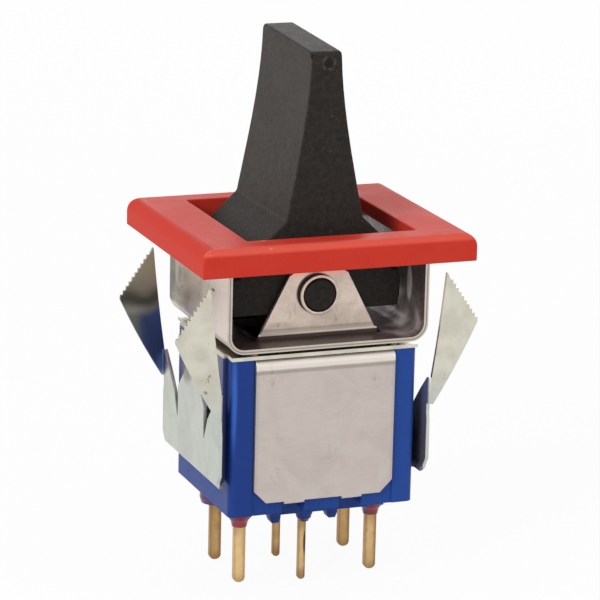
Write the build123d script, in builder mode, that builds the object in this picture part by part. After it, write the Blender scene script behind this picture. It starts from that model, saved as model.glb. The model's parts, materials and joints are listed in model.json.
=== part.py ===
from build123d import *
import math
import os

os.makedirs("parts", exist_ok=True)

# Miniature snap-in toggle switch. +Z points up along the lever, the front is -Y,
# and z = 0 is the plane of the two common pins' tips. All lengths are in millimetres.

# Heights
pin_reach = 5.80                   # tips of the common pins to the underside of the case
case_tall = 10.35                  # underside of the case to the frame's sheet
pivot_rise = 3.99                  # frame's sheet to the lever's axis
panel_rise = 2.58                  # lever's axis to the bezel's seating face
bezel_t = 1.88                     # thickness of the bezel
lever_rise = 16.54                 # lever's axis to the crown of the paddle

z_case = pin_reach
z_deck = z_case + case_tall
z_pivot = z_deck + pivot_rise
z_bezel = z_pivot + panel_rise
z_bezel_top = z_bezel + bezel_t
z_top = z_pivot + lever_rise

# Sheet thicknesses
t_frame = 0.30
t_clip = 0.25
t_strap = 0.30

# Clearances
c_run = 0.06                       # radial play of the lever's trunnions
c_slide = 0.08                     # radial play of a plunger in its socket
c_touch = 0.02                     # play between a rocker and what it touches
c_hook = 0.09                      # play each side of a tab in its notch
c_recess = 0.075                   # play each side of a shield in its recess

# Case
case_hx = 6.50
case_hy = 5.40
case_corner = 0.50
floor_t = 1.20
wall_t = 0.80
barrier_t = 0.60
barrier_top = 5.60
plinth_left = 2.65                 # ends of the plinth, left and right of the middle
plinth_right = case_hx - 1.15
plinth_hy = case_hy - 2.25
plinth_drop = 0.92
plinth_edge = 0.08
boss_r = 0.72                      # end bosses, at their mouths
boss_flare = 0.33
boss_drop = 1.05
common_boss_r = 0.48
common_boss_drop = 1.46
common_boss_shift = 0.12
foot_w = 0.92
foot_hy = 0.42
foot_y = 2.10
foot_shift = 0.15                  # the feet stand this far to the left
foot_drop = 1.66
seal_drop = 0.57                   # resin below the mouth of an end boss
blob_flare = 0.36                  # spilt resin round the back left boss
common_seal_drop = 0.22

# Terminals
end_x = 1.80                       # end face of the case to the middle of an end pin
pitch_x = case_hx - end_x
row_y = 2.415
pin_w = 0.80
pin_t = 0.50
end_short = 0.25                   # end pins stop this far above the common pins' tips
common_w = 0.51
common_t = 0.40
common_shift = 0.25                # the common pins stand this far to the left
saddle_top = 2.58
saddle_hx = 0.25
pad_top = 2.03
pad_hx = 0.80
pad_hy = 0.90

columns = {"left": -pitch_x, "common": -common_shift, "right": pitch_x}
rows = {"front": -row_y, "back": row_y}

# Frame
frame_hx = case_hx - 1.625
shield_out = case_hy + 0.22        # outer face of a shield
shield_in = shield_out - t_frame
shield_low = 0.87                  # bottom edge of a shield above the case's underside
shield_chamfer = 0.85
tab_x = 2.03                       # centre of each hooked tab and of its notch
tab_w = 1.42
tab_reach = 1.35
notch_top = 0.98
notch_deep = 1.22
window_hx = 3.00
ear_out = 3.87
ear_in = ear_out - t_frame
ear_foot_hx = frame_hx - 0.70
ear_top_hx = 2.05
ear_straight = 1.20                # upright sides of an ear above the deck
ear_shoulder = 1.36                # corners of an ear above the pivot
ear_crown = 1.96
roll_t = 0.14                      # thickened roll along the foot of an ear
roll_tall = 1.20
roll_end = 1.55
collar_w = 0.20                    # drawn collar round each trunnion hole
collar_t = 0.26

# Lever
swing = 12.5                       # degrees each way
trunnion_r = 1.09
trunnion_end = 4.17
wing_r = 5.95
wing_hy = 3.45
wing_drop = 1.26                   # underside of the wings below the pivot
crown_rise = 2.58                  # underside of the paddle above the pivot
shoulder_hx = 4.28
shoulder_rise = 3.66
neck_hx = 2.66
neck_rise = 5.21
blade_hx = 1.04
blade_hy = 4.65
blade_shift = 0.30                 # the blade's top stands this far behind the pivot
blade_front_draft = 0.38           # how much deeper the blade is at its foot
blade_back_draft = 0.12
crown_slope = 0.40                 # fall of the crown from back to front
blade_round = 0.45
stem_hx = 1.70
stem_hy = 3.40
stem_drop = 7.94                   # end of the stem below the pivot
socket_r = 0.80
socket_end = 2.74                  # inner end of a socket below the pivot

# Plungers, springs and rockers
plunger_r = socket_r - c_slide
plunger_low = 3.35                 # above the case's underside
plunger_tall = 4.65
coil_r = 0.52
wire_r = 0.10
coil_turns = 3
rocker_hx = pitch_x + 0.25
rocker_hy = 0.90
rocker_t = 0.35

# Snap-in clips
saddle_hy = case_hy + 0.05
leg_hy = 4.40
bend_hy = 5.35                     # half width of the turned-up bend
clip_gap_r = 0.21
clip_low = 2.47                    # centre of the turned-up bend above the case's underside
plate_hy = 5.70                    # half width of an outer plate below its arms
clip_hy = 5.95                     # outer faces of the blades
clip_in = case_hx + t_clip + 2 * clip_gap_r
clip_out = clip_in + t_clip
arm_bend_r = 0.10
arm_low = 4.33                     # lower end of an arm's bend above the plate's bend
arm_tall = 1.82
tongue_hy = 2.60
tongue_tall = 6.35
slit_w = 0.24
slit_low = 2.29
blade_reach = 3.00                 # lowest tooth, out from the bend
teeth_low = 5.48                   # lowest tooth above the blade's foot
teeth_tall = 3.44
teeth = 10
tooth_depth = 0.15
tip_in = 0.74                      # tip of a blade, out from the bend
tip_point = 0.47                   # bare point above the last tooth
blade_root_in = 0.16               # the inner edge ends this far inside the bend

# Mounting strap
strap_out = 7.00
strap_hy = 5.86
nub_t = 0.30                       # gap that the welds leave under the strap
strap_bend = 1.20
strap_window_hx = ear_foot_hx + 0.325
strap_window_hy = ear_out + 0.18
slot_deep = 0.90
nub_x = 4.90
nub_y = 5.00
nub_r = 0.42

# Bezel
bezel_hx = 9.44
bezel_hy = 7.90
bezel_round = 0.95                 # top edges of the short ends
bezel_lip = 0.52                   # top edges of the long sides
opening_hx = 5.80
opening_hy = 6.04


def block(x0, x1, y0, y1, z0, z1, mode=Mode.ADD):
    """A box between two corners."""
    with Locations(((x0 + x1) / 2, (y0 + y1) / 2, (z0 + z1) / 2)):
        Box(abs(x1 - x0), abs(y1 - y0), abs(z1 - z0), mode=mode)


def slab_xz(points, y0, y1, mode=Mode.ADD):
    """A polygon drawn on X and Z, thick from y0 to y1."""
    with BuildSketch(Plane.XZ.offset(-y1)) as drawing:
        with BuildLine():
            Polyline(*points, close=True)
        make_face()
    extrude(drawing.sketch, amount=y1 - y0, mode=mode)


def slab_yz(points, x0, x1, mode=Mode.ADD):
    """A polygon drawn on Y and Z, thick from x0 to x1."""
    with BuildSketch(Plane.YZ.offset(x0)) as drawing:
        with BuildLine():
            Polyline(*points, close=True)
        make_face()
    extrude(drawing.sketch, amount=x1 - x0, mode=mode)


def mirrored(half):
    """A closed outline from its right half, listed from the bottom up."""
    return half + [(-x, z) for x, z in reversed(half)]


def spin_about_z(points, x, y):
    """A solid turned about a vertical axis at x, y from (radius, z) points."""
    with BuildSketch(Plane.XZ.offset(-y)) as drawing:
        with BuildLine():
            Polyline(*[(x + r, z) for r, z in points], close=True)
        make_face()
    revolve(drawing.sketch, axis=Axis((x, y, 0), (0, 0, 1)))


def is_end(x):
    """True at the end pins of a row, false at its common pin."""
    return abs(x) > pitch_x / 2


# ---------------------------------------------------------------- case
def case_walls():
    """Open-topped tub with the recesses that hold the two shields."""
    rim = z_deck + t_frame
    recess_hx = frame_hx + c_recess
    cavity_hx = case_hx - wall_t
    cavity_hy = case_hy - wall_t
    block(-case_hx, case_hx, -case_hy, case_hy, z_case, rim)
    fillet(edges().filter_by(Axis.Z), radius=case_corner)
    block(-recess_hx, recess_hx, -case_hy, case_hy, z_deck, rim, Mode.SUBTRACT)
    for side in (-1, 1):
        block(-recess_hx, recess_hx, side * shield_in, side * case_hy,
              z_case, z_deck, Mode.SUBTRACT)
    block(-cavity_hx, cavity_hx, -cavity_hy, cavity_hy, z_case + floor_t, rim, Mode.SUBTRACT)
    block(-cavity_hx, cavity_hx, -barrier_t / 2, barrier_t / 2,
          z_case + floor_t, z_case + barrier_top)


def boss_x(x):
    """Middle of the boss that surrounds a pin."""
    return x if is_end(x) else -common_boss_shift


def pin_boss(x, y):
    """Flared boss where a pin leaves the underside."""
    r = boss_r if is_end(x) else common_boss_r
    flare = boss_flare if is_end(x) else boss_flare / 2
    drop = boss_drop if is_end(x) else common_boss_drop
    spin_about_z([(0, z_case), (r + flare, z_case), (r + flare, z_case - 0.68 * drop),
                  (r + 0.6 * flare, z_case - 0.78 * drop), (r, z_case - drop),
                  (0, z_case - drop)], boss_x(x), y)


def moved(outline, x):
    """The same outline, shifted sideways."""
    return [(u + x, v) for u, v in outline]


def case_underside():
    """Plinth with a boss at each pin and four stand-off feet."""
    block(-plinth_left, plinth_right, -plinth_hy, plinth_hy, z_case - plinth_drop, z_case)
    fillet(edges().group_by(Axis.Z)[0], radius=plinth_edge)
    for x in columns.values():
        for y in rows.values():
            pin_boss(x, y)
    w = foot_w / 2
    tip = z_case - foot_drop
    knee = z_case - 0.8 * foot_drop
    foot = mirrored([(0.5 * w, tip), (0.8 * w, knee), (w, z_case)])
    for x in (-tab_x, tab_x):
        for y in (-foot_y, foot_y):
            slab_xz(moved(foot, x - foot_shift), y - foot_hy, y + foot_hy)


def case_notches():
    """Four notches in the bottom edge where the frame's tabs hook under."""
    w = tab_w / 2 + c_hook
    for x in (-tab_x, tab_x):
        for side in (-1, 1):
            block(x - w, x + w, side * (shield_in - notch_deep), side * case_hy,
                  z_case, z_case + notch_top, Mode.SUBTRACT)


def pin_shank(x, y, z0, z1, mode=Mode.ADD):
    """Square-cut shank of a terminal, or the hole for it."""
    w = (pin_w if is_end(x) else common_w) / 2
    t = (pin_t if is_end(x) else common_t) / 2
    block(x - w, x + w, y - t, y + t, z0, z1, mode)


with BuildPart() as case:
    case_walls()
    case_underside()
    case_notches()
    for x in columns.values():
        for y in rows.values():
            pin_shank(x, y, 0, z_case + floor_t, Mode.SUBTRACT)
case.part.label = "case"


# ---------------------------------------------------------------- terminals and seals
def terminal_body(x, y):
    """Pin with a round tip; an end pin carries a contact pad, a common pin a saddle."""
    w = pin_w if is_end(x) else common_w
    seat = z_case + floor_t
    pin_shank(x, y, end_short if is_end(x) else 0, seat)
    fillet(edges().filter_by(Axis.Y).group_by(Axis.Z)[0], radius=0.45 * w)
    if is_end(x):
        block(x - pad_hx, x + pad_hx, y - pad_hy, y + pad_hy, seat, z_case + pad_top)
        fillet(edges().filter_by(Axis.Y).group_by(Axis.Z)[-1], radius=0.36 * (pad_top - floor_t))
    else:
        block(-saddle_hx, saddle_hx, y - pad_hx, y + pad_hx, seat, z_case + saddle_top)
        fillet(edges().filter_by(Axis.Y).group_by(Axis.Z)[-1], radius=0.99 * saddle_hx)
        block(-pad_hx, pad_hx, y - pad_hx, y + pad_hx, seat, seat + t_frame)


def seal_bead(x, y):
    """Bead of potting resin round a pin where it leaves its boss."""
    r = boss_r if is_end(x) else common_boss_r
    mouth = z_case - (boss_drop if is_end(x) else common_boss_drop)
    low = mouth - (seal_drop if is_end(x) else common_seal_drop)
    bead = [(0, mouth), (0.97 * r, mouth), (0.80 * r, 0.6 * mouth + 0.4 * low),
            (0.70 * r, low), (0, low)]
    if x < 0 and is_end(x) and y > 0:
        root = z_case - 0.68 * boss_drop
        bead = [(0, mouth), (r, mouth), (r + 0.6 * boss_flare, z_case - 0.78 * boss_drop),
                (r + boss_flare, root), (r + blob_flare, 0.6 * root + 0.4 * low),
                (r + 0.7 * blob_flare, 0.2 * root + 0.8 * low), (0.70 * r, low), (0, low)]
    spin_about_z(bead, boss_x(x), y)
    pin_shank(x, y, 0, z_case, Mode.SUBTRACT)


pieces = [case]
for row in rows:
    for column in columns:
        with BuildPart() as terminal:
            terminal_body(columns[column], rows[row])
        terminal.part.label = "terminal_" + row + "_" + column
        pieces.append(terminal)
        with BuildPart() as bead:
            seal_bead(columns[column], rows[row])
        bead.part.label = "seal_" + row + "_" + column
        pieces.append(bead)


# ---------------------------------------------------------------- rockers
def cradle_curve():
    """Curve on which a plunger's tip rolls while the rocker tips at half the lever's angle."""
    reach = z_pivot - z_case - plunger_low - plunger_r
    rise = z_pivot - z_case - saddle_top - c_touch
    centres = []
    for step in range(-10, 11):
        a = math.radians(swing * step / 8)
        b = a / 2
        u = reach * math.sin(a)
        v = rise - reach * math.cos(a)
        centres.append((u * math.cos(b) - v * math.sin(b), u * math.sin(b) + v * math.cos(b)))
    curve = []
    for k in range(1, len(centres) - 1):
        du = centres[k + 1][0] - centres[k - 1][0]
        dv = centres[k + 1][1] - centres[k - 1][1]
        drop = (plunger_r + c_touch) / math.hypot(du, dv)
        curve.append((centres[k][0] + dv * drop, centres[k][1] - du * drop))
    return curve


def rocker_body(y):
    """Contact bar with a flat underside and the cradle on top."""
    low = z_case + saddle_top + c_touch
    outline = [(-rocker_hx, low), (rocker_hx, low), (rocker_hx, low + rocker_t)]
    outline += [(u, low + v) for u, v in reversed(cradle_curve())]
    outline += [(-rocker_hx, low + rocker_t)]
    slab_xz(outline, y - rocker_hy, y + rocker_hy)


# ---------------------------------------------------------------- plungers and springs
def plunger_body(y):
    """Round-nosed pin that slides in the lever's stem."""
    tip = z_case + plunger_low
    top = tip + plunger_tall
    with BuildSketch(Plane.XZ.offset(-y)) as drawing:
        with BuildLine():
            Line((0, tip), (0, top))
            Line((0, top), (plunger_r, top))
            Line((plunger_r, top), (plunger_r, tip + plunger_r))
            RadiusArc((plunger_r, tip + plunger_r), (0, tip), plunger_r)
        make_face()
    revolve(drawing.sketch, axis=Axis((0, y, 0), (0, 0, 1)))


def spring_body(y):
    """Compression spring between a plunger and the end of its socket."""
    low = z_case + plunger_low + plunger_tall + wire_r
    tall = z_pivot - socket_end - wire_r - low
    with BuildLine(Plane.XY.offset(low).move(Location((0, y, 0)))) as path:
        coil = Helix(tall / coil_turns, tall, coil_r)
    with BuildSketch(Plane(origin=coil @ 0, z_dir=coil % 0)) as drawing:
        RegularPolygon(wire_r, 6)
    sweep(drawing.sketch, path=path.line)


for row in rows:
    with BuildPart() as rocker:
        rocker_body(rows[row])
    rocker.part.label = "contact_rocker_" + row
    pieces.append(rocker)
    with BuildPart() as plunger:
        plunger_body(rows[row])
    plunger.part.label = "plunger_" + row
    pieces.append(plunger)
    with BuildPart() as spring:
        spring_body(rows[row])
    spring.part.label = "plunger_spring_" + row
    pieces.append(spring)


# ---------------------------------------------------------------- switch frame
def frame_shields():
    """Front and back walls, with clipped lower corners and two hooked tabs each."""
    low = z_case + shield_low
    hook = z_case + notch_top
    outline = mirrored([(frame_hx - shield_chamfer, low), (frame_hx, low + shield_chamfer),
                        (frame_hx, z_deck + t_frame)])
    for side in (-1, 1):
        slab_xz(outline, min(side * shield_in, side * shield_out),
                max(side * shield_in, side * shield_out))
        for x in (-tab_x, tab_x):
            block(x - tab_w / 2, x + tab_w / 2, side * (shield_out - tab_reach),
                  side * shield_out, hook - t_frame, hook)
            block(x - tab_w / 2, x + tab_w / 2, side * shield_in,
                  side * shield_out, hook - t_frame, hook + t_frame)


def frame_sheet():
    """Top sheet that closes the case, with a window for the stem."""
    block(-frame_hx, frame_hx, -shield_out, shield_out, z_deck, z_deck + t_frame)
    block(-window_hx, window_hx, -ear_in, ear_in, z_deck, z_deck + t_frame, Mode.SUBTRACT)


def edges_along_x(z):
    """Edges along X at a height on the outer faces of the shields."""
    tiny = t_frame / 30
    found = edges().filter_by(Axis.X).filter_by_position(Axis.Z, z - tiny, z + tiny)
    return found.filter_by(lambda e: abs(abs(e.center().Y) - shield_out) < tiny)


def round_frame_bends():
    """Outer radii where the sheet turns down into a shield and where a tab turns under."""
    fillet(edges_along_x(z_deck + t_frame), radius=1.7 * t_frame)
    hook_low = z_case + notch_top - t_frame
    fillet(edges_along_x(hook_low), radius=0.8 * (z_case + shield_low - hook_low))


def frame_ear(side):
    """Upright ear with a drawn collar round its trunnion hole."""
    foot = z_deck + t_frame / 2
    knee = z_deck + ear_straight
    shoulder = z_pivot + ear_shoulder
    near = -max(side * ear_in, side * ear_out)
    with BuildSketch(Plane.XZ.offset(near)) as drawing:
        with BuildLine():
            Line((-ear_foot_hx, foot), (ear_foot_hx, foot))
            Line((ear_foot_hx, foot), (ear_foot_hx, knee))
            Line((ear_foot_hx, knee), (ear_top_hx, shoulder))
            ThreePointArc((ear_top_hx, shoulder), (0, z_pivot + ear_crown),
                          (-ear_top_hx, shoulder))
            Line((-ear_top_hx, shoulder), (-ear_foot_hx, knee))
            Line((-ear_foot_hx, knee), (-ear_foot_hx, foot))
        make_face()
        with Locations((0, z_pivot)):
            Circle(trunnion_r + c_run, mode=Mode.SUBTRACT)
    extrude(drawing.sketch, amount=t_frame)
    near = -max(side * ear_out, side * (ear_out + collar_t))
    with BuildSketch(Plane.XZ.offset(near)) as drawing:
        with Locations((0, z_pivot)):
            Circle(trunnion_r + c_run + collar_w)
            Circle(trunnion_r + c_run, mode=Mode.SUBTRACT)
    extrude(drawing.sketch, amount=collar_t)
    y = side * ear_out
    z = z_deck + t_frame
    slab_yz([(y, z), (y + side * roll_t, z), (y + side * roll_t, z_deck + roll_tall),
             (y, z_deck + roll_end)], -ear_foot_hx, ear_foot_hx)


with BuildPart() as switch_frame:
    frame_shields()
    frame_sheet()
    round_frame_bends()
    frame_ear(-1)
    frame_ear(1)
switch_frame.part.label = "switch_frame"
pieces.append(switch_frame)


# ---------------------------------------------------------------- snap-in clip bracket
def clip_saddle():
    """Windowed top plate over the frame, with a leg down each side of the case."""
    top = z_deck + t_frame
    out = case_hx + t_clip
    bend = z_case + clip_low
    window_hy = ear_out + 1.7 * roll_t
    block(-out, out, -leg_hy, leg_hy, top, top + t_clip)
    fillet(edges().filter_by(Axis.Y).group_by(Axis.Z)[-1], radius=0.96 * t_clip)
    block(-case_hx, case_hx, -saddle_hy, saddle_hy, top, top + t_clip)
    block(-ear_foot_hx - t_frame, ear_foot_hx + t_frame, -window_hy, window_hy,
          top, top + t_clip, Mode.SUBTRACT)
    for side in (-1, 1):
        block(side * case_hx, side * out, -leg_hy, leg_hy, bend, top)


def clip_plate(side):
    """Outer plate: a round-topped tongue between two arms, cut apart by two slits."""
    low = z_case + clip_low
    inset = clip_hy - t_clip - arm_bend_r
    slit = low + slit_low
    slit_y = tongue_hy + slit_w
    arm = [(bend_hy, low), (plate_hy, low + 2 * t_clip), (plate_hy, low + 0.75 * arm_low),
           (inset, low + 0.85 * arm_low), (inset, low + arm_low + arm_tall),
           (0.4 * slit_y + 0.6 * inset, low + 0.82 * (arm_low + arm_tall)),
           (0.8 * slit_y + 0.2 * inset, low + 0.62 * (arm_low + arm_tall))]
    notch = [(slit_y, slit + slit_w), (slit_y - 0.2 * slit_w, slit + 0.2 * slit_w),
             (tongue_hy + 0.5 * slit_w, slit), (tongue_hy + 0.2 * slit_w, slit + 0.2 * slit_w)]
    tongue = [(tongue_hy, slit + slit_w), (tongue_hy, low + 0.70 * tongue_tall),
              (0.42 * tongue_hy, low + 0.95 * tongue_tall), (0.28 * tongue_hy, low + tongue_tall)]
    x = min(side * clip_in, side * clip_out)
    slab_yz(mirrored(arm + notch + tongue), x, x + t_clip)


def clip_bend(side):
    """Turned-up bend: its inner quarter is as wide as the leg, its outer one wider."""
    size = 2 * (clip_gap_r + t_clip)
    for half, toward in ((leg_hy, -side), (bend_hy, side)):
        with BuildSketch(Plane.XZ.offset(-half)) as drawing:
            with Locations((side * (case_hx + t_clip + clip_gap_r), z_case + clip_low)):
                Circle(clip_gap_r + t_clip)
                Circle(clip_gap_r, mode=Mode.SUBTRACT)
                with Locations((0, size / 2)):
                    Rectangle(2 * size, size, mode=Mode.SUBTRACT)
                with Locations((-toward * size / 2, 0)):
                    Rectangle(size, 2 * size, mode=Mode.SUBTRACT)
        extrude(drawing.sketch, amount=2 * half)


def toothed_edge(start, end):
    """Points of a saw edge from start to end, with its teeth on the right-hand side."""
    du = (end[0] - start[0]) / teeth
    dv = (end[1] - start[1]) / teeth
    out = tooth_depth / math.hypot(du, dv)
    points = []
    for k in range(teeth):
        u = start[0] + du * k
        v = start[1] + dv * k
        points.append((u, v))
        points.append((u + 0.78 * du + out * dv, v + 0.78 * dv - out * du))
    points.append(end)
    return points


def arm_bend(side, end):
    """Right-angle bend between an outer plate and a blade."""
    low = z_case + clip_low + arm_low
    size = 2 * (arm_bend_r + t_clip)
    with BuildSketch(Plane.XY.offset(low)) as drawing:
        with Locations((side * (clip_out + arm_bend_r), end * (clip_hy - t_clip - arm_bend_r))):
            Circle(arm_bend_r + t_clip)
            Circle(arm_bend_r, mode=Mode.SUBTRACT)
            with Locations((side * size / 2, 0)):
                Rectangle(size, 2 * size, mode=Mode.SUBTRACT)
            with Locations((0, -end * size / 2)):
                Rectangle(2 * size, size, mode=Mode.SUBTRACT)
    extrude(drawing.sketch, amount=arm_tall)


def clip_blade(side, end):
    """Flat blade with a swept lower edge and a toothed outer one."""
    low = z_case + clip_low + arm_low
    top = low + teeth_low + teeth_tall

    def at(out, z):
        return (side * (clip_out + arm_bend_r + out), z)

    last = (1.3 * tip_in, top - tip_point)
    teeth_line = toothed_edge((blade_reach, low + teeth_low), last)
    foot_mid = at(0.50 * blade_reach, low + 0.46 * teeth_low)
    back_mid = at(0.34 * tip_in, low + 0.54 * (top - low))
    root = at(-blade_root_in, low + arm_tall)
    with BuildSketch(Plane.XZ.offset(-max(end * clip_hy, end * (clip_hy - t_clip)))) as drawing:
        with BuildLine():
            Line(at(0, low + arm_tall), at(0, low))
            ThreePointArc(at(0, low), foot_mid, at(blade_reach, low + teeth_low))
            Polyline(*[at(u, v) for u, v in teeth_line])
            Polyline(at(*last), at(tip_in, top), at(0.94 * tip_in, top))
            ThreePointArc(at(0.94 * tip_in, top), back_mid, root)
            Line(root, at(0, low + arm_tall))
        make_face()
    extrude(drawing.sketch, amount=t_clip)


with BuildPart() as clip_bracket:
    clip_saddle()
    for side in (-1, 1):
        clip_plate(side)
        clip_bend(side)
        for end in (-1, 1):
            arm_bend(side, end)
            clip_blade(side, end)
clip_bracket.part.label = "clip_bracket"
pieces.append(clip_bracket)


# ---------------------------------------------------------------- mounting strap
def strap_body():
    """U-shaped strap: windowed floor, round lower bends, walls up into the bezel."""
    top = z_bezel + slot_deep
    floor = z_deck + t_frame + t_clip + nub_t
    with BuildSketch(Plane.XZ.offset(-strap_hy)) as drawing:
        with BuildLine():
            FilletPolyline((-strap_out, top), (-strap_out, floor),
                           (strap_out, floor), (strap_out, top), radius=strap_bend)
            offset(amount=t_strap, side=Side.LEFT, kind=Kind.ARC)
        make_face()
    extrude(drawing.sketch, amount=2 * strap_hy)
    block(-strap_window_hx, strap_window_hx, -strap_window_hy, strap_window_hy,
          floor - t_strap, floor + 2 * t_strap, Mode.SUBTRACT)


def weld_nubs():
    """Four projection welds that stand the strap off the clip bracket."""
    low = z_deck + t_frame + t_clip
    for x in (-nub_x, nub_x):
        for y in (-nub_y, nub_y):
            with Locations((x, y, low + nub_t / 2)):
                Cylinder(nub_r, nub_t)


with BuildPart() as mounting_strap:
    strap_body()
    weld_nubs()
mounting_strap.part.label = "mounting_strap"
pieces.append(mounting_strap)


# ---------------------------------------------------------------- bezel
def bezel_body():
    """Mitred rectangular collar, rounded more at its short ends than along its sides."""
    knee = bezel_hx - bezel_round
    turn = z_bezel_top - bezel_round
    with BuildSketch(Plane.XZ) as drawing:
        with BuildLine():
            Line((-bezel_hx, z_bezel), (bezel_hx, z_bezel))
            Line((bezel_hx, z_bezel), (bezel_hx, turn))
            RadiusArc((bezel_hx, turn), (knee, z_bezel_top), -bezel_round)
            Line((knee, z_bezel_top), (-knee, z_bezel_top))
            RadiusArc((-knee, z_bezel_top), (-bezel_hx, turn), -bezel_round)
            Line((-bezel_hx, turn), (-bezel_hx, z_bezel))
        make_face()
    extrude(drawing.sketch, amount=bezel_hy, both=True)
    lip = bezel_hy - bezel_lip
    turn = z_bezel_top - bezel_lip
    with BuildSketch(Plane.YZ) as drawing:
        with BuildLine():
            Line((-bezel_hy, z_bezel), (bezel_hy, z_bezel))
            Line((bezel_hy, z_bezel), (bezel_hy, turn))
            RadiusArc((bezel_hy, turn), (lip, z_bezel_top), -bezel_lip)
            Line((lip, z_bezel_top), (-lip, z_bezel_top))
            RadiusArc((-lip, z_bezel_top), (-bezel_hy, turn), -bezel_lip)
            Line((-bezel_hy, turn), (-bezel_hy, z_bezel))
        make_face()
    extrude(drawing.sketch, amount=2 * bezel_hx, both=True, mode=Mode.INTERSECT)


def bezel_cuts():
    """Lever opening, and the pocket under it that the strap's walls stand in."""
    block(-opening_hx, opening_hx, -opening_hy, opening_hy, z_bezel, z_bezel_top, Mode.SUBTRACT)
    block(-strap_out, strap_out, -strap_hy, strap_hy, z_bezel, z_bezel + slot_deep, Mode.SUBTRACT)


with BuildPart() as bezel:
    bezel_body()
    bezel_cuts()
bezel.part.label = "bezel"
pieces.append(bezel)


# ---------------------------------------------------------------- paddle
def paddle_blade():
    """Tapered blade with hollow sides, opening out into a shoulder inside the bezel."""
    low = z_pivot + crown_rise
    shoulder = z_pivot + shoulder_rise
    neck = z_pivot + neck_rise
    corner = math.sqrt(wing_r ** 2 - crown_rise ** 2)
    waist_hx = 0.59 * neck_hx + 0.41 * blade_hx
    with BuildSketch(Plane.XZ) as drawing:
        with BuildLine():
            for s in (-1, 1):
                Line((0, low), (s * corner, low))
                Line((s * corner, low), (s * shoulder_hx, shoulder))
                Line((s * shoulder_hx, shoulder), (s * neck_hx, neck))
                Bezier((s * neck_hx, neck), (s * waist_hx, 0.70 * neck + 0.30 * z_top),
                       (s * blade_hx, 0.33 * neck + 0.67 * z_top), (s * blade_hx, z_top))
                Line((s * blade_hx, z_top), (0, z_top))
        make_face()
    extrude(drawing.sketch, amount=2 * blade_hy, both=True)
    front = blade_shift - blade_hy
    back = blade_shift + blade_hy
    with BuildSketch(Plane.YZ) as drawing:
        with BuildLine():
            Polyline((front - blade_front_draft, low), (back + blade_back_draft, low),
                     (back, z_top), (front, z_top - crown_slope), close=True)
        make_face()
    extrude(drawing.sketch, amount=wing_r, both=True, mode=Mode.INTERSECT)
    crown = edges().filter_by(Axis.X).filter_by(lambda e: e.center().Z > z_top - 1.5 * crown_slope)
    fillet(crown, radius=blade_round)


def paddle_wings():
    """Round-ended bar between the ears, centred on the pivot, with its trunnions."""
    with BuildSketch(Plane.XZ.offset(-wing_hy)) as drawing:
        with Locations((0, z_pivot)):
            Circle(wing_r)
            Rectangle(3 * wing_r, 2 * wing_drop, mode=Mode.INTERSECT)
            with Locations((0, crown_rise / 2)):
                Rectangle(1.8 * wing_r, crown_rise)
    extrude(drawing.sketch, amount=2 * wing_hy)
    with Locations(Location((0, 0, z_pivot), (90, 0, 0))):
        Cylinder(trunnion_r, 2 * trunnion_end)


def paddle_stem():
    """Stem through the frame's window with a socket for each plunger."""
    low = z_pivot - stem_drop
    top = z_pivot - socket_end
    block(-stem_hx, stem_hx, -stem_hy, stem_hy, low, z_pivot)
    for y in rows.values():
        with Locations((0, y, (low + top) / 2)):
            Cylinder(socket_r, top - low, mode=Mode.SUBTRACT)


with BuildPart() as paddle:
    paddle_blade()
    paddle_wings()
    paddle_stem()
paddle.part.label = "paddle"
pieces.append(paddle)

for piece in pieces:
    export_step(piece.part, "parts/" + piece.part.label + ".step")
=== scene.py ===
import bpy
import bmesh
import json
import math
from mathutils import Matrix, Vector

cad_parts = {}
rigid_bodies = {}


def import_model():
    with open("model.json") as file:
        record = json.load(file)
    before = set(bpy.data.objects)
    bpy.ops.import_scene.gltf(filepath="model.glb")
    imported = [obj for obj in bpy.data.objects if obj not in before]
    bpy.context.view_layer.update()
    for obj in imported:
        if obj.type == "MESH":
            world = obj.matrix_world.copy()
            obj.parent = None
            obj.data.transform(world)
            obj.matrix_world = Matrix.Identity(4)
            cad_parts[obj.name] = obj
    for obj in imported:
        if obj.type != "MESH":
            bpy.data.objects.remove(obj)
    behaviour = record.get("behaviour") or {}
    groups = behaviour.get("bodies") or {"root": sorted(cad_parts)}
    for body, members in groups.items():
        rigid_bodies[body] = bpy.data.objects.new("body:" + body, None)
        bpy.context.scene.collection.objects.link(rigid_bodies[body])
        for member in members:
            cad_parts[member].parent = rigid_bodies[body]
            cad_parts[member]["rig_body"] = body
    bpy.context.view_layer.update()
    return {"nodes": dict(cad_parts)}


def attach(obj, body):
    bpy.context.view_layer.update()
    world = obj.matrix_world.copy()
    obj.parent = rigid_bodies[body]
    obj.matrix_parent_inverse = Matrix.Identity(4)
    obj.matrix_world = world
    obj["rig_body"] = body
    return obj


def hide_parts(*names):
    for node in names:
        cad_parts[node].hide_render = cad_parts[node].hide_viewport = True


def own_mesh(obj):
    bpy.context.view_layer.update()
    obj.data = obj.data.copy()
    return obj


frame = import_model()
nodes = frame["nodes"]
scene = bpy.context.scene

# Lengths are in millimetres, times mm where Blender needs metres. Heights in the materials are
# above the underside of the case, which stands zc above the tips of the common pins.
mm = 0.001
zc = 5.80
row_y = {"front": -2.415, "back": 2.415}
column_x = {"left": -4.7, "common": -0.25, "right": 4.7}
pin_half = {"left": 0.40, "common": 0.255, "right": 0.40}
X, Y, Z = 0, 1, 2


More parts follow.
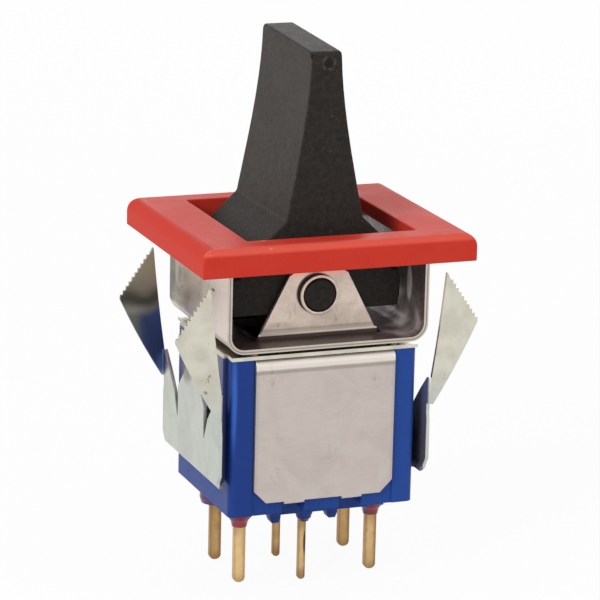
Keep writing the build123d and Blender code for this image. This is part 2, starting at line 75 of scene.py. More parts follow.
# ---------------------------------------------------------------- shader helpers
class Shade:
    """A material built from procedural nodes, with lengths in millimetres."""

    def __init__(self, name):
        self.mat = bpy.data.materials.new(name)
        self.mat.use_nodes = True
        self.t = self.mat.node_tree
        self.t.nodes.clear()
        self.out = self.t.nodes.new("ShaderNodeOutputMaterial")
        self.bsdf = self.t.nodes.new("ShaderNodeBsdfPrincipled")
        self.link(self.bsdf.outputs[0], self.out.inputs[0])
        coord = self.t.nodes.new("ShaderNodeTexCoord")
        scale = self.t.nodes.new("ShaderNodeMapping")
        scale.inputs["Scale"].default_value = (1 / mm, 1 / mm, 1 / mm)
        self.link(coord.outputs["Object"], scale.inputs["Vector"])
        self.pos = scale.outputs["Vector"]
        self.facing = coord.outputs["Normal"]

    def link(self, a, b):
        self.t.links.new(a, b)

    def put(self, value, socket):
        """Set a socket to a number or a colour, or link another socket to it."""
        if isinstance(value, (int, float)):
            socket.default_value = value
        elif isinstance(value, (tuple, list)):
            opaque = (1.0,) if len(value) == 3 and socket.type == "RGBA" else ()
            socket.default_value = tuple(value) + opaque
        else:
            self.link(value, socket)

    def stretch(self, scale):
        """The position with each axis scaled."""
        n = self.t.nodes.new("ShaderNodeMapping")
        n.inputs["Scale"].default_value = scale
        self.link(self.pos, n.inputs["Vector"])
        return n.outputs[0]

    def noise(self, scale, detail=3, rough=0.5, vec=None, warp=0.0):
        n = self.t.nodes.new("ShaderNodeTexNoise")
        n.inputs["Scale"].default_value = scale
        n.inputs["Detail"].default_value = detail
        n.inputs["Roughness"].default_value = rough
        n.inputs["Distortion"].default_value = warp
        self.link(vec or self.pos, n.inputs["Vector"])
        return n.outputs["Fac"]

    def ramp(self, fac, low, high, a=0.0, b=1.0):
        """From a at low to b at high, smoothly."""
        n = self.t.nodes.new("ShaderNodeMapRange")
        n.interpolation_type = "SMOOTHSTEP"
        self.put(fac, n.inputs["Value"])
        n.inputs["From Min"].default_value = low
        n.inputs["From Max"].default_value = high
        n.inputs["To Min"].default_value = a
        n.inputs["To Max"].default_value = b
        return n.outputs[0]

    def fade(self, fac, low, high):
        """1 at low fading to 0 at high."""
        return self.ramp(fac, low, high, 1.0, 0.0)

    def math(self, op, a, b=0.0):
        n = self.t.nodes.new("ShaderNodeMath")
        n.operation = op
        self.put(a, n.inputs[0])
        self.put(b, n.inputs[1])
        return n.outputs[0]

    def mix(self, fac, a, b):
        n = self.t.nodes.new("ShaderNodeMix")
        n.data_type = "RGBA"
        self.put(fac, n.inputs[0])
        self.put(a, n.inputs[6])
        self.put(b, n.inputs[7])
        return n.outputs[2]

    def dist(self, point, squash=(1, 1, 1)):
        """Distance from a point whose height is above the case's underside."""
        v = self.t.nodes.new("ShaderNodeVectorMath")
        v.operation = "SUBTRACT"
        self.link(self.pos, v.inputs[0])
        v.inputs[1].default_value = (point[X], point[Y], point[Z] + zc)
        m = self.t.nodes.new("ShaderNodeVectorMath")
        m.operation = "MULTIPLY"
        self.link(v.outputs[0], m.inputs[0])
        m.inputs[1].default_value = squash
        d = self.t.nodes.new("ShaderNodeVectorMath")
        d.operation = "LENGTH"
        self.link(m.outputs[0], d.inputs[0])
        return d.outputs["Value"]

    def near(self, point, radius, squash=(1, 1, 1)):
        """1 at a point fading to 0 at the radius."""
        return self.fade(self.dist(point, squash), 0.0, radius)

    def ridge(self, value, middle, half):
        """1 where a value is within a narrow range."""
        off = self.math("ABSOLUTE", self.math("SUBTRACT", value, middle))
        return self.fade(off, 0.6 * half, 1.3 * half)

    def axis(self, which, vec=None):
        s = self.t.nodes.new("ShaderNodeSeparateXYZ")
        self.link(vec or self.pos, s.inputs[0])
        return s.outputs[which]

    def off(self, which):
        """Distance from the middle plane."""
        return self.math("ABSOLUTE", self.axis(which))

    def above(self, which, value, soft=0.05):
        """1 where a coordinate is above a value; heights are above the case's underside."""
        v = value + (zc if which == Z else 0)
        return self.ramp(self.axis(which), v - soft, v + soft)

    def below(self, which, value, soft=0.05):
        """1 where a coordinate is below a value; heights are above the case's underside."""
        v = value + (zc if which == Z else 0)
        return self.fade(self.axis(which), v - soft, v + soft)

    def within(self, which, value, soft=0.05):
        """1 where the distance from the middle plane is under a value."""
        return self.fade(self.off(which), value - soft, value + soft)

    def all(self, *masks):
        """The product of masks and strengths."""
        m = masks[0]
        for other in masks[1:]:
            m = self.math("MULTIPLY", m, other)
        return m

    def bump(self, height, strength, depth_mm, normal=None):
        n = self.t.nodes.new("ShaderNodeBump")
        n.inputs["Strength"].default_value = strength
        n.inputs["Distance"].default_value = depth_mm * mm
        self.put(height, n.inputs["Height"])
        if normal:
            self.link(normal, n.inputs["Normal"])
        return n.outputs[0]

    def finish(self, color, rough, metal=0.0, normal=None, spec=0.5, coat=0.0):
        self.put(color, self.bsdf.inputs["Base Color"])
        self.put(rough, self.bsdf.inputs["Roughness"])
        self.put(metal, self.bsdf.inputs["Metallic"])
        self.put(spec, self.bsdf.inputs["Specular IOR Level"])
        self.put(coat, self.bsdf.inputs["Coat Weight"])
        if normal:
            self.link(normal, self.bsdf.inputs["Normal"])
        return self.mat


def plastic(name, base, pale, rough, grain=14.0, grain_mm=0.006, scuff=0.5):
    """Moulded plastic: faint flow mottling, fine grain and pale rubbed patches."""
    s = Shade(name)
    flow = s.noise(0.35, 4, 0.55, warp=0.6)
    fine = s.noise(grain, 3, 0.6)
    rub = s.ramp(s.noise(1.7, 6, 0.7, warp=0.4), 0.62, 0.80)
    color = s.mix(s.ramp(flow, 0.3, 0.7, 0.0, 0.16), base, pale)
    color = s.mix(s.all(rub, 0.10 * scuff), color, pale)
    r = s.math("ADD", s.ramp(fine, 0.3, 0.7, -0.05, 0.06),
               s.ramp(flow, 0.3, 0.7, rough - 0.03, rough + 0.04))
    normal = s.bump(fine, 0.5, grain_mm)
    normal = s.bump(s.noise(0.5, 2), 0.3, 0.03, normal)
    return s, color, r, normal


def metal(name, base, dark, rough, grain_axis=Z, smudge=0.5):
    """Rolled sheet metal: fine drawn grain one way, soft smudges, small pits."""
    s = Shade(name)
    scale = [14.0, 14.0, 14.0]
    scale[grain_axis] = 0.8
    streak = s.noise(1.0, 5, 0.65, vec=s.stretch(tuple(scale)))
    cloud = s.noise(0.45, 5, 0.6, warp=0.8)
    pits = s.ramp(s.noise(5.5, 4, 0.6), 0.66, 0.74)
    color = s.mix(s.ramp(cloud, 0.35, 0.7, 0.0, smudge), base, dark)
    color = s.mix(s.ramp(streak, 0.35, 0.65, 0.0, 0.14), color, dark)
    color = s.mix(s.all(pits, 0.35 * smudge), color, dark)
    r = s.math("ADD", s.ramp(streak, 0.3, 0.7, rough - 0.05, rough + 0.06),
               s.ramp(cloud, 0.3, 0.7, 0.0, 0.10))
    normal = s.bump(streak, 0.25, 0.006)
    normal = s.bump(s.noise(0.8, 3), 0.35, 0.02, normal)
    return s, color, r, normal


# ---------------------------------------------------------------- materials
def blue_moulding():
    """Case: painted shade to the left and painted light to the right, a painted highlight on its front
    left edge, red where resin ran over the bosses.
    """
    s, c, r, n = plastic("blue_moulding", (0.007, 0.044, 0.260), (0.020, 0.075, 0.33), 0.42, scuff=0.6)
    # painted shade on the left of the case and painted light on its right
    side_light_and_shade = s.ramp(s.axis(X), -6.3, 6.3)
    c = s.mix(side_light_and_shade, s.mix(0.22, c, (0.004, 0.020, 0.12)), s.mix(0.30, c, (0.022, 0.100, 0.40)))
    # painted highlight along the front left edge of the case
    edge_highlight = s.near((-6.42, -5.5, 8.0), 0.50, (1, 1, 0.08))
    c = s.mix(s.ramp(edge_highlight, 0.0, 0.6), c, (0.045, 0.150, 0.60))

    bead_z, boss_z = -0.98, -0.35
    underside_patches = s.ramp(s.noise(2.2, 4, 0.6, warp=0.6), 0.40, 0.62)
    for x, y, radius in ((-4.75, -3.1, 1.20), (4.65, -3.1, 0.60), (-4.75, 1.8, 0.8), (4.65, 1.8, 0.5)):
        ran = s.all(s.near((x, y, bead_z), radius, (1, 1, 0.8)), s.below(Z, boss_z, 0.2))
        c = s.mix(s.math("MINIMUM", s.all(ran, 1.5), 1.0), c, (0.26, 0.018, 0.030))
    # darker blue patches on the bosses below the case's underside
    c = s.mix(s.all(underside_patches, s.below(Z, -0.02), 0.30), c, (0.012, 0.014, 0.06))
    return s.finish(c, r, normal=n, spec=0.22)


def red_moulding():
    """Bezel: a rub by the opening, two chips on the front lip, pale specks, a painted highlight along
    the front lip.
    """
    s, c, r, n = plastic("red_moulding", (0.63, 0.042, 0.025), (0.68, 0.080, 0.050), 0.45, scuff=0.4)
    worn = s.ramp(s.noise(4.5, 5, 0.7), 0.50, 0.62)
    c = s.mix(s.all(worn, s.near((-5.0, -5.95, 18.8), 0.9, (1, 1.6, 1)), 0.9), c, (0.80, 0.52, 0.44))
    chip = s.near((-4.86, -7.84, 18.75), 0.42, (1.0, 1.6, 1.6))
    c = s.mix(s.ramp(chip, 0.25, 0.45), c, (0.95, 0.42, 0.30))
    corner_chip = s.near((-8.97, -7.95, 18.56), 0.30, (1, 1.4, 1.4))
    c = s.mix(s.ramp(corner_chip, 0.25, 0.50), c, (0.92, 0.40, 0.30))
    specks = s.ramp(s.noise(7.0, 3, 0.6), 0.66, 0.72)
    c = s.mix(s.all(specks, 0.12), c, (0.80, 0.30, 0.22))
    # painted highlight along the top of the front lip
    c = s.mix(s.all(s.below(Y, -7.45, 0.15), s.above(Z, 18.38, 0.12), 0.7), c, (0.86, 0.135, 0.095))
    return s.finish(c, r, normal=n, spec=0.05)


def black_moulding():
    """Paddle: grainy, dust specks, a painted paler left side, a gate mark near the top of the front
    face with a painted highlight on its rim.
    """
    s, c, r, n = plastic("black_moulding", (0.0165, 0.0130, 0.0108), (0.040, 0.033, 0.028), 0.60,
                         grain=7.0, grain_mm=0.014)
    speck = s.ramp(s.noise(5.0, 2, 0.5), 0.72, 0.77)
    c = s.mix(s.all(speck, 0.45), c, (0.26, 0.23, 0.21))
    dust = s.ramp(s.noise(9.0, 4, 0.8), 0.60, 0.75)
    c = s.mix(s.all(dust, 0.10), c, (0.20, 0.18, 0.17))
    grain = s.noise(2.6, 5, 0.75)
    c = s.mix(s.ramp(grain, 0.42, 0.66, 0.0, 0.55), c, (0.034, 0.029, 0.025))
    c = s.mix(s.ramp(grain, 0.34, 0.46, 0.45, 0.0), c, (0.004, 0.003, 0.003))
    # painted light: faces turned to the left are painted paler, unevenly with the grain
    left_side_light = s.fade(s.axis(X, s.facing), -0.92, -0.60)
    c = s.mix(s.all(left_side_light, s.ramp(grain, 0.30, 0.60, 0.45, 0.75)), c, (0.056, 0.050, 0.045))

    gate = s.dist((0.12, -4.40, 29.75), (1, 0.4, 1))
    c = s.mix(s.all(s.fade(gate, 0.25, 0.36), 0.7), c, (0.002, 0.002, 0.002))
    # a painted highlight on the broken rim of the gate mark
    broken = s.ramp(s.noise(3.0, 3, 0.6), 0.40, 0.56)
    c = s.mix(s.all(s.ridge(gate, 0.40, 0.10), broken, 0.8), c, (0.070, 0.062, 0.056))
    n = s.bump(s.ramp(gate, 0.30, 0.42), 0.6, 0.06, n)
    return s.finish(c, r, normal=n, spec=0.17)


def frame_steel():
    """Folded frame: warm ears with rub marks, painted light and shade at their feet, a painted red
    reflection at their tops and a painted shadow round each collar; a bare plate, painted light and
    shade at its fold.
    """
    s, c, r, n = metal("frame_steel", (0.56, 0.495, 0.462), (0.44, 0.385, 0.35), 0.40, X, 0.42)
    ear = s.above(Z, 10.9)
    warm = s.mix(s.ramp(s.noise(0.9, 4, 0.6), 0.35, 0.7), (0.70, 0.59, 0.505), (0.56, 0.47, 0.395))
    c = s.mix(ear, c, warm)
    # painted shade at the foot of each ear, a painted highlight along its rolled bend, painted shade
    # above that
    c = s.mix(s.all(ear, s.below(Z, 11.78, 0.05)), c, (0.060, 0.040, 0.032))
    c = s.mix(s.all(ear, s.above(Z, 11.80), s.below(Z, 12.02), 0.8), c, (0.50, 0.44, 0.38))
    c = s.mix(s.all(ear, s.above(Z, 12.02), s.below(Z, 12.20), 0.5), c, (0.28, 0.22, 0.18))
    # painted reflection of the red bezel on the tops of the ears
    c = s.mix(s.all(ear, s.above(Z, 15.55, 0.3), 0.75), c, (0.86, 0.40, 0.34))
    # painted shadow over each collar and round it on the ear
    collar_shadow = s.fade(s.dist((-0.20, 0, 14.46), (1, 0, 1)), 1.28, 1.42)
    c = s.mix(s.all(collar_shadow, ear, s.within(Y, 4.0, 0.02)), c, (0.050, 0.036, 0.030))

    # rub marks on the front ear: x, z, radius, squash, strength
    rub = s.ramp(s.noise(3.4, 5, 0.75, vec=s.stretch((1.0, 0.4, 0.6))), 0.50, 0.66)
    for x, z, radius, squash, k in ((-1.98, 13.04, 0.42, (3, 0.2, 0.9), 0.85),
                                    (-1.64, 13.46, 0.45, (3.2, 0.2, 0.8), 0.8),
                                    (2.22, 13.52, 0.30, (1, 0.2, 2.2), 0.85),
                                    (1.29, 13.25, 0.35, (2.2, 0.2, 0.9), 0.6),
                                    (-2.70, 12.45, 0.90, (0.9, 0.2, 3.0), 0.7),
                                    (0.4, 12.7, 1.2, (0.6, 0.2, 1.6), 0.35)):
        spot = s.ramp(s.near((x, -4.2, z), radius, squash), 0.1, 0.5)
        c = s.mix(s.all(spot, s.math("ADD", s.all(rub, 0.8), 0.2), k), c, (0.13, 0.085, 0.06))

    # front plate: a painted highlight along its fold between painted dark lines of shade, painted shade
    # at its sides, smudges
    plate = s.below(Y, -5.4)
    c = s.mix(s.all(plate, s.above(Z, 9.95), s.below(Z, 10.55), 0.6), c, (0.86, 0.80, 0.73))
    c = s.mix(s.all(plate, s.above(Z, 9.66, 0.06), s.below(Z, 9.90, 0.06), 0.55), c, (0.26, 0.22, 0.19))
    c = s.mix(s.all(plate, s.above(Z, 10.5, 0.04), 0.6), c, (0.30, 0.26, 0.22))
    c = s.mix(s.all(plate, s.ramp(s.off(X), 4.55, 4.85), s.below(Z, 9.8), 0.35), c, (0.34, 0.29, 0.27))
    for x, z, radius, k in ((-3.9, 9.5, 1.3, 0.45), (1.26, 6.6, 1.0, 0.35), (3.55, 8.8, 0.7, 0.5),
                            (-3.6, 3.0, 1.5, 0.4), (0.5, 4.0, 1.6, 0.25)):
        c = s.mix(s.all(rub, s.near((x, -5.62, z), radius, (1, 0.2, 1)), k), c, (0.20, 0.16, 0.14))
    return s.finish(c, r, 0.88, n)


def clip_steel():
    """Clip bracket: cool plates, warm blades, painted shade and a painted navy reflection where it
    faces the case, painted reflections on the far left blade, painted shade on the left plate between
    its blades.
    """
    s, c, r, n = metal("clip_steel", (0.545, 0.575, 0.525), (0.42, 0.44, 0.39), 0.30, Z, 0.36)
    blade_y = 5.95
    warm = s.mix(s.ramp(s.noise(0.8, 3, 0.5), 0.35, 0.7), (0.66, 0.63, 0.53), (0.55, 0.53, 0.45))
    c = s.mix(s.above(Z, 8.2, 1.6), c, warm)
    pit = s.ramp(s.noise(3.1, 4, 0.7, warp=0.5), 0.66, 0.72)
    c = s.mix(s.all(pit, 0.7), c, (0.14, 0.12, 0.09))
    for x, z in ((-8.23, 9.99), (-8.36, 9.67), (-9.5, 9.63), (-8.48, 8.89)):
        spot = s.ramp(s.near((x, -blade_y, z), 0.26), 0.1, 0.7)
        c = s.mix(s.all(spot, s.ramp(s.noise(8.0, 3, 0.6), 0.42, 0.58), 0.8), c, (0.20, 0.17, 0.13))

    # faces turned to the case, the plates' inner sides and the legs: painted shade and a painted navy
    # reflection of the case
    inner = s.all(s.within(X, 7.19, 0.015), s.below(Z, 10.62, 0.02))
    back = s.mix(s.ramp(s.axis(Z), zc + 3.0, zc + 7.5), (0.15, 0.135, 0.165), (0.13, 0.14, 0.27))
    c = s.mix(inner, c, back)
    # painted shade: darker steel in the middle of the legs, painted navy reflection towards their ends
    steel = s.mix(s.ramp(s.noise(0.7, 4, 0.6), 0.35, 0.65), (0.30, 0.28, 0.255), (0.21, 0.195, 0.175))
    leg_shade_and_reflection = s.mix(s.within(Y, 3.5, 0.7), (0.055, 0.070, 0.21), steel)
    c = s.mix(s.all(inner, s.within(X, 6.90)), c, leg_shade_and_reflection)

    # the far left blade's front side, painted reflections: pale at its top, a dark band, navy below,
    # and a painted glint
    far = s.all(s.below(X, -7.40, 0.03), s.above(Y, 5.4), s.above(Z, 6.9, 0.5),
                s.fade(s.axis(Y, s.facing), -0.1, 0.3))
    wave = s.math("ADD", s.axis(Z), s.ramp(s.noise(0.5, 2, 0.5), 0.25, 0.75, -0.35, 0.35))
    blade_reflection = s.mix(s.ramp(wave, zc + 12.2, zc + 15.6), (0.27, 0.235, 0.205), (0.40, 0.37, 0.29))
    dark_reflected_band = s.all(s.ramp(wave, zc + 11.2, zc + 12.1), s.fade(wave, zc + 12.3, zc + 13.3))
    blade_reflection = s.mix(dark_reflected_band, blade_reflection, (0.095, 0.098, 0.082))
    navy_reflection = s.mix(s.ramp(s.axis(X), -9.6, -8.7), (0.20, 0.21, 0.19), (0.070, 0.105, 0.27))
    blade_reflection = s.mix(s.fade(wave, zc + 10.9, zc + 12.0), blade_reflection, navy_reflection)
    glint = s.near((-9.5, blade_y, 11.5), 1.2, (0.6, 0.2, 2.2))
    c = s.mix(far, c, s.mix(s.all(glint, 0.6), blade_reflection, (0.40, 0.40, 0.36)))

    # painted shade on the upper left plate between its blades
    shade_between_blades = s.ramp(s.near((-7.42, 0.9, 9.4), 2.2, (0.3, 1, 0.8)), 0.1, 0.5)
    c = s.mix(s.all(shade_between_blades, s.below(X, -7.3), s.within(Y, 5.4), 0.8), c, (0.20, 0.185, 0.165))
    return s.finish(c, r, s.math("SUBTRACT", 1.0, s.all(inner, 0.6)), n)


def strap_steel():
    """Strap: brown-grey outer wall with painted light and shade, dark lines along its cut edges,
    painted shade and reflections inside.
    """
    s, c, r, n = metal("strap_steel", (0.60, 0.53, 0.46), (0.42, 0.37, 0.31), 0.28, X, 0.40)
    strap_hx, strap_hy = 7.0, 5.80
    outer = s.all(s.ramp(s.off(X), 6.93, 6.98), s.within(Y, strap_hy))
    # painted light and shade on the outer wall: paler at the front, darker towards the back, near black
    # at the back
    back = s.math("ADD", s.axis(Y), s.ramp(s.noise(0.5, 4, 0.6), 0.3, 0.7, -1.2, 1.2))
    # of the left wall, with a paler patch near its top
    wall = s.mix(s.ramp(back, -3.5, 1.5), (0.76, 0.65, 0.57), (0.68, 0.58, 0.49))
    left = s.ramp(s.axis(X), -1.0, 1.0, 1.0, 0.2)
    wall = s.mix(s.all(s.ramp(back, 2.0, 5.8), left), wall, (0.15, 0.132, 0.100))
    wall = s.mix(s.near((-strap_hx, 4.4, 14.2), 1.0, (0.2, 2.2, 0.7)), wall, (0.42, 0.37, 0.30))
    for y, z, radius in ((-2.95, 14.89, 0.45), (-1.64, 13.9, 0.4)):
        scratch = s.ramp(s.near((-strap_hx, y, z), radius, (0.2, 1, 2.5)), 0.2, 0.6)
        wall = s.mix(scratch, wall, (0.10, 0.085, 0.07))
    c = s.mix(outer, c, wall)

    # inside: painted shade in dark swirls of painted reflection, with painted lit patches at the right:
    # x, y, z, radius, strength
    inside = s.all(s.within(X, 6.78, 0.06), s.above(Z, 11.40), s.within(Y, strap_hy))
    swirl = s.noise(0.42, 5, 0.6, warp=1.6)
    inside_light_and_shade = s.mix(s.ramp(swirl, 0.42, 0.72), (0.13, 0.092, 0.085), (0.26, 0.215, 0.205))
    for x, y, z, radius, k in ((5.4, -4.6, 11.5, 1.5, 0.7), (6.7, -4.9, 12.4, 1.0, 0.6),
                               (6.7, -0.8, 12.7, 1.8, 1.0), (6.3, -2.6, 11.7, 1.3, 1.0)):
        lit = s.all(s.near((x, y, z), radius, (1, 1, 0.7)), s.ramp(swirl, 0.36, 0.60), k)
        inside_light_and_shade = s.mix(lit, inside_light_and_shade, (0.90, 0.82, 0.80))
    # painted reflection on the right inner wall
    bright = s.ramp(s.near((6.7, -3.2, 14.5), 1.5, (1, 2.2, 0.8)), 0.1, 0.6)
    inside_light_and_shade = s.mix(bright, inside_light_and_shade, (0.95, 0.90, 0.88))
    # painted shade over the left of the inside
    inside_light_and_shade = s.mix(s.below(X, -2.0, 2.5), inside_light_and_shade, (0.095, 0.072, 0.062))
    shadow = s.ramp(s.near((1.0, -5.0, 11.42), 2.6, (0.6, 1, 1)), 0.0, 0.6)
    inside_light_and_shade = s.mix(s.all(shadow, 0.6), inside_light_and_shade, (0.050, 0.036, 0.032))
    c = s.mix(inside, c, inside_light_and_shade)
    # painted shade under the strap's floor
    under_shade = s.all(s.below(Z, 11.19, 0.02), s.within(X, 5.9), s.within(Y, 5.84, 0.02), 0.8)
    c = s.mix(under_shade, c, (0.06, 0.05, 0.04))

    # a line along the middle of the cut edge: up each wall, along the floor, round each bend
    line = 0.045
    bend_x, bend_z, bend_mid = 5.80, 12.40, 1.06
    cut = s.math("MAXIMUM", s.all(s.ridge(s.off(X), 6.86, line), s.above(Z, bend_z)),
                 s.all(s.ridge(s.axis(Z), zc + 11.34, line), s.within(X, bend_x)))
    for x in (-bend_x, bend_x):
        arc = s.all(s.ridge(s.dist((x, 0, bend_z), (1, 0, 1)), bend_mid, line), s.below(Z, bend_z))
        outside = s.above(X, x) if x > 0 else s.below(X, x)
        cut = s.math("MAXIMUM", cut, s.all(arc, outside))
    c = s.mix(s.all(cut, s.ramp(s.off(Y), 5.80, 5.84), 0.7), c, (0.16, 0.14, 0.12))
    return s.finish(c, r, s.math("SUBTRACT", 1.0, s.all(inside, 0.62)), n)


def pin_tones(row, column):
    """A pin's painted light and shade tones: the front left one is painted brightest, the back row
    painted darkest in shade.
    """
    if row == "back":
        return (0.50, 0.34, 0.15), (0.30, 0.155, 0.062)
    if column == "left":
        return (0.78, 0.56, 0.27), (0.52, 0.31, 0.15)
    return (0.66, 0.47, 0.23), (0.34, 0.185, 0.08)


def gold(row, column):
    """Gold-plated pin: a painted highlight along its middle, painted shade at both sides and at its top
    under the case, browner at its tip.
    """
    light, dark = pin_tones(row, column)
    x, half = column_x[column], pin_half[column]
    s, c, r, n = metal("gold_%s_%s" % (row, column), light, dark, 0.28, Z, 0.45)
    sway = s.noise(1.2, 3, 0.6, vec=s.stretch((0.2, 0.2, 1.0)))
    u = s.math("ADD", s.axis(X), s.ramp(sway, 0.3, 0.7, -0.1 * half, 0.1 * half))
    # painted shade at both sides of the pin, leaving a painted highlight along its middle
    c = s.mix(s.ramp(u, x + 0.15 * half, x + 0.75 * half), c, dark)
    c = s.mix(s.all(s.fade(u, x - 0.95 * half, x - 0.55 * half), 0.7), c, dark)
    c = s.mix(s.all(s.fade(s.axis(Z), 0.1, 1.1), 0.75), c, [k * 0.62 for k in dark])
    # painted shade at the top of the pin, under the case
    c = s.mix(s.all(s.above(Z, -2.1, 0.5), 0.5), c, [k * 0.75 for k in dark])
    mark = s.ramp(s.noise(2.6, 4, 0.7), 0.64, 0.72)
    c = s.mix(s.all(mark, 0.5), c, (0.16, 0.09, 0.04))
    if (row, column) == ("front", "common"):
        # a painted shadow line down the front common pin
        shadow_line = s.all(s.near((-0.10, -2.62, -3.2), 1.1, (9.0, 0.3, 1.0)), 2.0)
        c = s.mix(s.math("MINIMUM", shadow_line, 0.9), c, (0.05, 0.028, 0.015))
    return s.finish(c, r, 1.0, n)


def resin_beads():
    """Potting resin round the end pins: dark red, bluish at its flanks."""
    s = Shade("resin")
    blob = s.noise(0.9, 4, 0.6, warp=0.4)
    c = s.mix(s.ramp(blob, 0.40, 0.66), (0.34, 0.018, 0.022), (0.13, 0.010, 0.034))
    flank = s.ramp(s.math("ABSOLUTE", s.math("SUBTRACT", s.off(X), 4.75)), 0.25, 0.62)
    c = s.mix(s.all(flank, 0.75), c, (0.035, 0.030, 0.16))
    return s.finish(c, 0.22, normal=s.bump(blob, 0.5, 0.06), spec=0.4, coat=0.25)


def dark_resin_beads():
    """Potting resin round the common pins: dark and bluish."""
    s = Shade("dark_resin")
    blob = s.noise(1.4, 4, 0.6)
    c = s.mix(s.ramp(blob, 0.40, 0.66), (0.045, 0.018, 0.085), (0.020, 0.022, 0.12))
    return s.finish(c, 0.28, normal=s.bump(blob, 0.4, 0.04), spec=0.4, coat=0.15)


def inner_metal(name, base, dark, rough, grain_axis, smudge):
    """Plain metal of the pieces inside the case and the lever."""
    s, c, r, n = metal(name, base, dark, rough, grain_axis, smudge)
    return s.finish(c, r, 1.0, n)


# ---------------------------------------------------------------- pieces
def soften(name, width_mm, material, segments=2, angle=32, clamp=True):
    """A copy of a CAD node with its sharp edges rounded, shown in its place."""
    src = nodes[name]
    bm = bmesh.new()
    bm.from_mesh(src.data)
    bmesh.ops.remove_doubles(bm, verts=bm.verts, dist=1e-7)
    bmesh.ops.dissolve_limit(bm, angle_limit=math.radians(0.4), verts=bm.verts, edges=bm.edges,
                             delimit={"NORMAL"})
    me = bpy.data.meshes.new(name + "_skin")
    bm.to_mesh(me)
    bm.free()
    ob = bpy.data.objects.new(name + "_skin", me)
    scene.collection.objects.link(ob)
    me.materials.append(material)
    for p in me.polygons:
        p.use_smooth = True
    mod = ob.modifiers.new("round", "BEVEL")
    mod.width = width_mm * mm
    mod.segments = segments
    mod.limit_method = "ANGLE"
    mod.angle_limit = math.radians(angle)
    mod.use_clamp_overlap = clamp
    mod.harden_normals = False
    wn = ob.modifiers.new("normals", "WEIGHTED_NORMAL")
    wn.keep_sharp = True
    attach(ob, src["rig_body"])
    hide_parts(name)


def spring(row, material):
    """A copy of a plunger's spring, shown in its place on the spring's body."""
    src = nodes["plunger_spring_" + row]
    ob = bpy.data.objects.new(src.name + "_skin", src.data.copy())
    scene.collection.objects.link(ob)
    ob.data.materials.clear()
    ob.data.materials.append(material)
    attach(ob, src["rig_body"])
    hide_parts(src.name)
    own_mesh(ob)


def dress(name, material):
    """A CAD node shown as it is."""
    me = nodes[name].data
    me.materials.clear()
    me.materials.append(material)


def pieces():
    """Every CAD node in its material, most of them as rounded copies."""
    soften("case", 0.10, blue_moulding(), 3)
    soften("bezel", 0.10, red_moulding(), 3)
    soften("paddle", 0.15, black_moulding(), 3, 25, False)
    soften("switch_frame", 0.035, frame_steel())
    soften("clip_bracket", 0.03, clip_steel())
    soften("mounting_strap", 0.035, strap_steel())
    resin = resin_beads()
    dark_resin = dark_resin_beads()
    brass = inner_metal("inner_brass", (0.78, 0.60, 0.32), (0.50, 0.36, 0.18), 0.30, Z, 0.4)
    silver = inner_metal("inner_silver", (0.80, 0.77, 0.72), (0.55, 0.52, 0.48), 0.30, X, 0.4)
    wire = inner_metal("spring_wire", (0.62, 0.62, 0.62), (0.40, 0.40, 0.40), 0.28, Z, 0.3)
    for row, y in row_y.items():
        for column in column_x:
            soften("terminal_%s_%s" % (row, column), 0.09, gold(row, column), 3)
            dress("seal_%s_%s" % (row, column), dark_resin if column == "common" else resin)
        dress("contact_rocker_" + row, silver)
        dress("plunger_" + row, brass)
        spring(row, wire)


# ---------------------------------------------------------------- floor, light, camera
def seen_white(t, dim, white):
    """Mix to the white background for camera, glossy and transmission rays."""
    path = t.nodes.new("ShaderNodeLightPath")
    total = path.outputs["Is Camera Ray"]
    for kind in ("Is Glossy Ray", "Is Transmission Ray"):
        add = t.nodes.new("ShaderNodeMath")
        add.operation = "MAXIMUM"
        t.links.new(total, add.inputs[0])
        t.links.new(path.outputs[kind], add.inputs[1])
        total = add.outputs[0]
    mix = t.nodes.new("ShaderNodeMixShader")
    t.links.new(total, mix.inputs[0])
    t.links.new(dim, mix.inputs[1])
    t.links.new(white, mix.inputs[2])
    return mix.outputs[0]


def floor():
    """Pale floor that shows white with a faint shadow, and is clear from below."""
    half_m, drop_mm = 3.0, 0.05
    me = bpy.data.meshes.new("floor")
    corners = [(-half_m, -half_m, 0), (half_m, -half_m, 0), (half_m, half_m, 0), (-half_m, half_m, 0)]
    me.from_pydata(corners, [], [(0, 1, 2, 3)])
    ob = bpy.data.objects.new("floor", me)
    scene.collection.objects.link(ob)
    ob.location.z = -drop_mm * mm
    m = bpy.data.materials.new("pale_floor")
    m.use_nodes = True
    t = m.node_tree
    t.nodes.clear()
    out = t.nodes.new("ShaderNodeOutputMaterial")
    body = t.nodes.new("ShaderNodeBsdfDiffuse")
    body.inputs[0].default_value = (0.90, 0.90, 0.90, 1)
    glow = t.nodes.new("ShaderNodeEmission")
    glow.inputs[0].default_value = (1, 1, 1, 1)
    pale = t.nodes.new("ShaderNodeMixShader")
    pale.inputs[0].default_value = 0.94
    t.links.new(body.outputs[0], pale.inputs[1])
    t.links.new(glow.outputs[0], pale.inputs[2])
    clear = t.nodes.new("ShaderNodeBsdfTransparent")
    geo = t.nodes.new("ShaderNodeNewGeometry")
    both = t.nodes.new("ShaderNodeMixShader")
    t.links.new(geo.outputs["Backfacing"], both.inputs[0])
    t.links.new(seen_white(t, body.outputs[0], pale.outputs[0]), both.inputs[1])
    t.links.new(clear.outputs[0], both.inputs[2])
    t.links.new(both.outputs[0], out.inputs[0])
    me.materials.append(m)


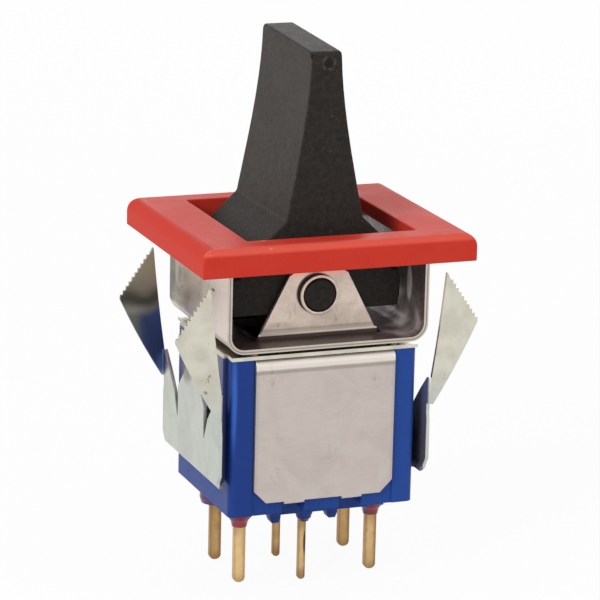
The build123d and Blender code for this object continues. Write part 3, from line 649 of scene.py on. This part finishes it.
def world():
    """Soft light from all round, with a white background."""
    w = bpy.data.worlds.new("studio")
    scene.world = w
    w.use_nodes = True
    t = w.node_tree
    t.nodes.clear()
    out = t.nodes.new("ShaderNodeOutputWorld")
    soft = t.nodes.new("ShaderNodeBackground")
    soft.inputs[0].default_value = (0.95, 0.97, 1.0, 1)
    soft.inputs[1].default_value = 0.42
    white = t.nodes.new("ShaderNodeBackground")
    white.inputs[0].default_value = (1, 1, 1, 1)
    white.inputs[1].default_value = 1.0
    t.links.new(seen_white(t, soft.outputs[0], white.outputs[0]), out.inputs[0])


def lamp(name, place, size, power):
    """A square soft box aimed at the middle of the switch: place and size in millimetres."""
    aim = (0, 0, 18)
    data = bpy.data.lights.new(name, "AREA")
    data.shape = "RECTANGLE"
    data.size = size * mm
    data.size_y = size * mm
    data.energy = power
    ob = bpy.data.objects.new(name, data)
    scene.collection.objects.link(ob)
    ob.location = Vector(place) * mm
    ob.rotation_mode = "QUATERNION"
    ob.rotation_quaternion = (Vector(aim) - Vector(place)).to_track_quat("-Z", "Y")


def camera():
    """The solved camera: its turn, tilt and roll, its focal length in pixels and its place."""
    az, el, roll = math.radians(-21.125), math.radians(14.776), math.radians(1.359)
    focal_px, image_px, sensor_mm = 3240.7, 600, 36
    place = (-75.057, -194.752, 68.011 + zc)
    fwd = Vector((-math.sin(az) * math.cos(el), math.cos(az) * math.cos(el), -math.sin(el)))
    right = Vector((math.cos(az), math.sin(az), 0))
    up = right.cross(fwd)
    x = right * math.cos(roll) + up * math.sin(roll)
    y = -right * math.sin(roll) + up * math.cos(roll)
    data = bpy.data.cameras.new("camera")
    data.sensor_width = sensor_mm
    data.lens = focal_px * sensor_mm / image_px
    data.clip_start = 0.01
    data.clip_end = 10
    ob = bpy.data.objects.new("camera", data)
    scene.collection.objects.link(ob)
    ob.rotation_mode = "QUATERNION"
    ob.rotation_quaternion = Matrix((x, y, -fwd)).transposed().to_quaternion()
    ob.location = Vector(place) * mm
    scene.camera = ob


pieces()
floor()
world()
lamp("key", (-260, -160, 190), 170, 0.62)
lamp("top", (20, -20, 300), 240, 0.10)
lamp("fill", (240, -220, 90), 200, 0.13)
lamp("rear", (120, 260, 160), 200, 0.20)
camera()
scene.view_settings.view_transform = "Standard"
scene.view_settings.look = "None"
